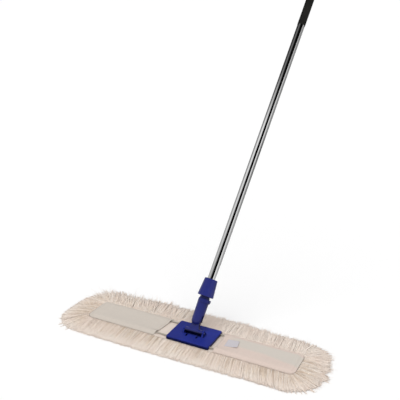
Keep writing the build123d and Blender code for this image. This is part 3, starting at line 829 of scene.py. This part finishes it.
def canvas_piece(name, x0, x1, top, thickness, material, edge_inset=0.0, slant=0.0):
    """A sheet over the canvas's outline from x0 to x1. top(x, y) gives its upper side.
    With a slant, its first edge runs askew: x0 is its middle."""
    share = np.linspace(0, 1, max(8, int(abs(x1 - x0) / GRID)) + 1)
    v = np.linspace(-1, 1, int(WIDTH / GRID) + 1)
    v = np.sign(v) * (1 - (1 - np.abs(v)) ** 1.15)
    x, v = np.meshgrid(x0 + (x1 - x0) * share, v, indexing="ij")
    y = MIDDLE_Y + v * (half_width(x) - edge_inset)
    x = x + slant * y * (1 - share[:, None]) ** 2
    upper = np.stack([x, y, top(x, y)], -1)
    return sheet_piece(name, upper, thickness, material, flipped=x1 < x0)


def ripple(x, y, seed, size):
    """Soft random unevenness of laid cloth."""
    rng = np.random.default_rng(seed)
    total = np.zeros_like(x)
    for _ in range(9):
        kx, ky = rng.uniform(8, 70), rng.uniform(8, 60)
        total += np.sin(kx * x + ky * y * rng.choice([-1, 1]) + rng.uniform(0, 6.28))
    return total * size / 3


def base_top(x, y):
    """The base canvas, drawn down a little along its stitched edge."""
    dip = 0.0004 * (1 - smoothstep(inside_canvas(x, y), 0.0, 0.004))
    return canvas_top_at(x) - dip - BASE_DROP


def pocket_top(mouth, slant, seed):
    """The upper side of a pocket over its wing of wire, sewn down round three sides."""
    side = math.copysign(1, mouth)
    foot = END_TOP + CLEARANCE + POCKET_THICKNESS
    over_wire = WIRE_TOP + CLEARANCE + POCKET_THICKNESS

    def top(x, y):
        edge = inside_canvas(x, y)
        from_mouth = np.maximum((x - mouth - slant * y) * side, 0)
        from_wire = WIRE_HALF_WIDTH - np.abs(y - MIDDLE_Y)
        # a rolled edge, a stitched groove, and the rise over the wires
        height = foot + 0.0003 * np.exp(-((edge - 0.0018) / 0.0016) ** 2)
        height += (over_wire - foot) * smoothstep(edge, STITCH_LINE + 0.0003, HEM + 0.0050)
        height -= 0.0005 * np.exp(-((edge - STITCH_LINE) / 0.0009) ** 2)
        # slack inside, and the mouth's lip lying down between the wires and gaping over them
        between = smoothstep(from_wire, 0.0045, 0.017)
        sag = 0.0011 * smoothstep(edge, 0.014, 0.040) * smoothstep(from_mouth, 0.0, 0.03)
        sag += (over_wire - foot - 0.0004) * between * np.exp(-((from_mouth / 0.030) ** 2))
        height -= sag
        gape = 0.0003 * np.exp(-from_mouth / 0.012) * smoothstep(edge, 0.006, 0.016)
        height += gape * (1 - between)
        # the mouth's turned hem, soft unevenness and puckers along the stitching
        hemmed = 1 - smoothstep(from_mouth, 0.008, 0.0095)
        height += 0.0005 * hemmed * smoothstep(edge, 0.003, 0.006)
        height += ripple(x, y, seed, 0.00022) * smoothstep(edge, 0.006, 0.018)
        puckers = 0.00025 * np.sin(x * 700 + np.sin(x * 90) * 2)
        height += puckers * np.exp(-((edge - 0.0075) / 0.003) ** 2)
        return np.minimum(height, POCKET_TOP + 0.0015)

    return top


def stitches(name, points, material):
    """Sewing stitches along a line of points, each a small bowed thread."""
    step = np.linalg.norm(np.diff(points, axis=0), axis=1)
    run = np.concatenate([[0], np.cumsum(step)])
    count = int(run[-1] / (STITCH_LENGTH + STITCH_GAP))
    u = np.linspace(0, 1, 5)
    start = np.arange(count) * (STITCH_LENGTH + STITCH_GAP)
    at = start[:, None] + STITCH_LENGTH * u[None, :]
    lines = np.stack([np.interp(at, run, points[:, k]) for k in range(3)], -1)
    lines[..., 2] += THREAD_RADIUS * (0.2 + 0.9 * np.sin(math.pi * u))[None, :]
    radii = THREAD_RADIUS * np.interp(u, [0, 0.2, 0.8, 1], [0.6, 1, 1, 0.6])[None, :]
    radii = radii * np.ones((count, 1))
    piece = yarn_piece(name, lines, radii, np.full(count, 0.3), material, seed=5, turn=0.5)
    return piece


def inset_line(inset, side, start):
    """Points in order round one end of the canvas, set in from its outline by inset. The
    first and the last lie start away from the head's middle."""
    point, normal = edge_of_canvas(np.linspace(0, PERIMETER, 3000))
    line = point - inset * normal
    ids = np.nonzero(line[:, 0] * side >= start)[0]
    split = np.nonzero(np.diff(ids) > 1)[0]
    if len(split):
        ids = np.concatenate([ids[split[0] + 1:], ids[: split[0] + 1]])
    return line[ids]


def laid_on(line, top):
    """Points (x, y) brought to the height of a cloth's upper side."""
    return np.concatenate([line, top(line[:, 0], line[:, 1])[:, None]], -1)


def add_pocket(side, word, end, mouth, slant, material, thread):
    """A pocket with the seams round its end and along its mouth. Returns sleeve and seams."""
    top = pocket_top(mouth, slant, POCKET_SEED + side)
    sleeve = canvas_piece(
        f"pocket_{word}_sleeve", mouth, end, top, POCKET_THICKNESS, material,
        edge_inset=SLEEVE_INSET, slant=slant
    )
    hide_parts(f"pocket_{word}")
    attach(sleeve, f"wing_{word}")

    line = inset_line(STITCH_LINE, side, abs(mouth + slant * FRONT))
    seam = stitches(f"pocket_{word}_seam", laid_on(line, top), thread)
    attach(seam, f"wing_{word}")

    hem_y = np.linspace(FRONT + MOUTH_SEAM_INSET, BACK - MOUTH_SEAM_INSET, 120)
    hem_x = mouth + slant * hem_y + side * HEM
    hem_seam = stitches(
        f"pocket_{word}_mouth_seam", laid_on(np.stack([hem_x, hem_y], -1), top), thread
    )
    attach(hem_seam, f"wing_{word}")
    return sleeve, [seam, hem_seam]


def add_edge_seams(side, word, mouth, thread):
    """Stitching along the front and back edges of the base canvas, up to the pocket."""
    edge = inset_line(EDGE_STITCH_LINE, side, 0.004)
    edge = edge[np.abs(edge[:, 0]) < abs(mouth) - 0.008]
    seams = []
    for row, facing in ((edge[edge[:, 1] < 0], "front"), (edge[edge[:, 1] > 0], "back")):
        row = row[np.argsort(row[:, 0])]
        piece = stitches(f"canvas_{word}_{facing}_seam", laid_on(row, base_top), thread)
        bend_head(piece, side)
        seams.append(piece)
    return seams


def add_canvas(pocket_cloths, base_cloth, thread):
    """The base canvas in two halves, with their pockets and stitching."""
    for (side, word, end, mouth, slant), pocket_cloth in zip(HALVES, pocket_cloths):
        thickness = CANVAS_THICKNESS - BASE_DROP
        base = canvas_piece(f"canvas_{word}_half", 0.0, end, base_top, thickness, base_cloth)
        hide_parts(f"canvas_{word}", "canvas_centre")
        sleeve, pocket_seams = add_pocket(side, word, end, mouth, slant, pocket_cloth, thread)
        edge_seams = add_edge_seams(side, word, mouth, thread)
        bend_head(base, side)
        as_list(pocket_seams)


# The label's corners on the pocket: front and back at its sewn inner end, then back and
# front at its loose end.
LABEL_CORNERS = np.array([[0.0925, -0.0110], [0.0905, 0.0215], [0.1230, 0.0210], [0.1285, -0.0090]])
LABEL_GRID = (23, 15)
LABEL_THICKNESS = 0.00025
LABEL_GAP = 0.0004
LABEL_LIFT = 0.0022     # how high its loose end curls up
LABEL_WAVE = 0.0004


def add_label(material):
    """The blank care label, sewn to the right pocket along its inner end."""
    top = pocket_top(RIGHT_MOUTH, 0.0, POCKET_SEED + 1)
    u, v = np.meshgrid(*(np.linspace(0, 1, n) for n in LABEL_GRID), indexing="ij")
    front_in, back_in, back_out, front_out = LABEL_CORNERS
    out, over = u[..., None], v[..., None]
    inner = (1 - over) * front_in + over * back_in
    outer = (1 - over) * front_out + over * back_out
    xy = (1 - out) * inner + out * outer
    z = top(xy[..., 0], xy[..., 1]) + LABEL_GAP
    curl = LABEL_LIFT * smoothstep(u, 0.35, 1.0) * (1 - 0.7 * v)
    z += curl + LABEL_WAVE * np.sin(7 * u + 3 * v) * u
    upper = np.concatenate([xy, z[..., None]], -1)
    piece = sheet_piece("care_label_blank", upper, LABEL_THICKNESS, material)
    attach(piece, "wing_right")


# -------------------- finish of the hard parts
def finish_hard_parts():
    """Gives each rigid node its material."""
    # the plate: painted shade on faces that look sideways or down and on its left side
    blue = plastic("blue_plastic_plate", BLUE, BLUE_DARK, 0.42, 0.10, under=0.45, painted_shade_left=0.7)
    blue_collar = plastic("blue_plastic_socket", SOCKET_BLUE, SOCKET_BLUE_DARK, 0.34, 0.30)
    # a darker copy of the socket's plastic: painted shade on the neck
    blue_neck_shaded = plastic("blue_plastic_neck_shaded", NECK_BLUE_SHADED, NECK_BLUE_SHADED_DARK, 0.34, 0.30)
    # a copy of the socket's plastic whose sides and underside go nearly black: painted shade
    blue_swivel_shaded = plastic(
        "blue_plastic_swivel_shaded", SOCKET_BLUE, SOCKET_BLUE_DARK, 0.34, 0.30, under=0.12
    )
    chrome = metal("chromed_tube_polished", CHROME, 0.07)
    wire = metal("frame_wire_bright", WIRE, 0.50, metallic=0.35)
    steel = metal("steel_fittings_bright", STEEL, 0.30)
    black = grip_rubber("black_grip_satin")
    finishes = (
        (blue, ("centre_plate", "keeper_plate")),
        (blue_swivel_shaded, ("swivel_barrel",)),
        (blue_neck_shaded, ("socket_neck",)),
        (blue_collar, ("collar_nut",)),
        (steel, ("keeper_screws", "tilt_axle", "pivot_pin")),
        (wire, ("wing_wire_left", "wing_wire_right")),
        (chrome, ("handle_tube",)),
        (black, ("hand_grip", "hanging_cap")),
    )
    for material, nodes in finishes:
        for node in nodes:
            mesh = frame["nodes"][node].data
            mesh.materials.clear()
            mesh.materials.append(material)


# -------------------- floor, light and studio cards
FLOOR_REACH = 60.0


def add_floor():
    """A wide pale floor."""
    n = Nodes("studio_floor")
    base = n.mix(n.ramp(n.noise(3, 2), 0.0, 0.3), FLOOR, FLOOR_DARK)
    n.shade(base_color=base, roughness=0.9, specular_ior_level=0.0)
    corners = [(x * FLOOR_REACH, y * FLOOR_REACH, 0) for x, y in ((-1, -1), (1, -1), (1, 1), (-1, 1))]
    mesh_piece("studio_floor", corners, [(0, 1, 2, 3)], n.material)


def card_material():
    """A matt studio card that glows with its own grey: painted light, shown in reflections."""
    n = Nodes("studio_card")
    n.shade(base_color=(0, 0, 0), roughness=1.0, specular_ior_level=0.0)
    # the glow: painted light
    n.shade(emission_color=n.attribute("grey"), emission_strength=1.0)
    return n.material


# Curved cards round the handle, at one distance from it. Each stands between two angles,
# counted in degrees from the user's side, and glows with a grey by how far up the handle it
# is: painted light that draws the reflections in the chromed tube.
CARD_DISTANCE = 0.35
CARD_STEPS = 8
USER_SIDE = (0.40, -0.77, 0.50)
LEFT_HEIGHTS = (0.05, 0.32, 0.67, 0.90, 1.5)
RIGHT_HEIGHTS = (0.05, 0.32, 0.60, 0.68, 1.5)
CARDS = {
    "flag_front": (-26, 34, (0.05, 0.70, 1.06, 1.5), (0.003, 0.003, 0.003, 0.003)),
    "left_edge": (-165, -88, LEFT_HEIGHTS, (0.55, 0.42, 0.26, 0.04, 0.01)),
    "left_outer": (-88, -66, LEFT_HEIGHTS, (0.55, 0.64, 0.68, 0.09, 0.02)),
    "left_inner": (-66, -44, LEFT_HEIGHTS, (0.25, 0.88, 1.00, 0.24, 0.03)),
    "left_near": (-44, -26, LEFT_HEIGHTS, (0.02, 0.45, 0.75, 0.10, 0.03)),
    "right_inner": (52, 66, (0.05, 0.70, 1.5), (0.60, 0.58, 0.50)),
    "right_mid": (66, 84, RIGHT_HEIGHTS, (0.62, 0.54, 0.28, 0.38, 0.38)),
    "right_edge": (84, 150, RIGHT_HEIGHTS, (0.45, 0.36, 0.13, 0.27, 0.27)),
    "flag_back": (152, 172, (0.05, 1.5), (0.03, 0.03)),
}
WIDENED_CARD = "flag_front"
WIDENED_FROM = 1.0      # past this height its far edge is turned on by WIDENED_BY degrees
WIDENED_BY = 18


def add_cards():
    """Stands the cards that draw the long dark and grey reflections in the chromed tube."""
    joints = {joint["name"]: joint for joint in frame["record"]["behaviour"]["joints"]}
    along = Vector(joints["handle_slide"]["axis"]).normalized()
    foot = Vector(joints["lean"]["pos_m"])
    toward_user = Vector(USER_SIDE)
    toward_user = (toward_user - toward_user.dot(along) * along).normalized()
    right = along.cross(toward_user)
    material = card_material()
    row = CARD_STEPS + 1
    for name, (start, stop, heights, card_greys) in CARDS.items():
        points, greys = [], []
        for height, grey in zip(heights, card_greys):
            widened = name == WIDENED_CARD and height > WIDENED_FROM
            sweep = stop + WIDENED_BY * widened - start
            for k in range(row):
                a = math.radians(start + sweep * k / CARD_STEPS)
                out = math.cos(a) * toward_user + math.sin(a) * right
                points.append(foot + height * along + CARD_DISTANCE * out)
                greys.append(grey)
        faces = [
            (r * row + k, r * row + k + 1, (r + 1) * row + k + 1, (r + 1) * row + k)
            for r in range(len(heights) - 1) for k in range(CARD_STEPS)
        ]
        card = mesh_piece(f"studio_{name}", points, faces, material, attributes={"grey": greys})
        for ray in ("camera", "diffuse", "shadow", "transmission", "volume_scatter"):
            setattr(card, f"visible_{ray}", False)


SURROUND_LIGHT = 0.55   # what the surround lights with; it is seen and mirrored as white
LAMP_LIGHT = 1.69
LAMP_ANGLE = math.radians(75)  # how broad it is
LAMP_SIDE = (0.12, -0.45, 1.0)  # which way the lamp lies


def add_surround():
    """A plain white surround that lights softly."""
    world = bpy.data.worlds.new("studio")
    bpy.context.scene.world = world
    world.use_nodes = True
    nodes, links = world.node_tree.nodes, world.node_tree.links
    nodes.clear()
    path = nodes.new("ShaderNodeLightPath")
    direct = path.outputs["Is Camera Ray"]
    for name in ("Is Glossy Ray", "Is Transmission Ray"):
        either = nodes.new("ShaderNodeMath")
        either.operation = "MAXIMUM"
        links.new(direct, either.inputs[0])
        links.new(path.outputs[name], either.inputs[1])
        direct = either.outputs[0]
    mixer = nodes.new("ShaderNodeMixShader")
    links.new(direct, mixer.inputs[0])
    for socket, strength in ((1, SURROUND_LIGHT), (2, 1.0)):
        background = nodes.new("ShaderNodeBackground")
        background.inputs["Color"].default_value = (1, 1, 1, 1)
        background.inputs["Strength"].default_value = strength
        links.new(background.outputs[0], mixer.inputs[socket])
    output = nodes.new("ShaderNodeOutputWorld")
    links.new(mixer.outputs[0], output.inputs["Surface"])


def add_lamp():
    """One broad lamp overhead, a little towards the user, that leaves no highlight."""
    lamp = bpy.data.lights.new("overhead", "SUN")
    lamp.energy = LAMP_LIGHT
    lamp.angle = LAMP_ANGLE
    sun = bpy.data.objects.new("overhead", lamp)
    sun.visible_glossy = False
    bpy.context.scene.collection.objects.link(sun)
    toward = Vector(LAMP_SIDE).normalized()
    sun.rotation_mode = "QUATERNION"
    sun.rotation_quaternion = toward.to_track_quat("Z", "Y")


# -------------------- build it all
add_camera()
yarn = yarn_material("cotton_yarn", YARN)
pocket_cloths = [
    cloth("cotton_canvas_left", POCKET_LEFT),
    cloth("cotton_canvas_right", POCKET_RIGHT, fold_shade_colour=POCKET_FOLD_SHADE),
]
base_cloth = cloth("cotton_canvas_middle", CANVAS_BASE)
thread = cloth("cotton_thread", THREAD, threads=4000.0, depth=0.00003)
label_cloth = cloth("label_cloth", LABEL, threads=2600.0, depth=0.00004, slub_tint=0.95)
yarn_pieces = add_fringe(yarn) + add_rows(yarn)
add_canvas(pocket_cloths, base_cloth, thread)
add_label(label_cloth)
finish_hard_parts()
add_floor()
add_cards()
add_surround()
add_lamp()
bpy.context.scene.view_settings.view_transform = "Standard"
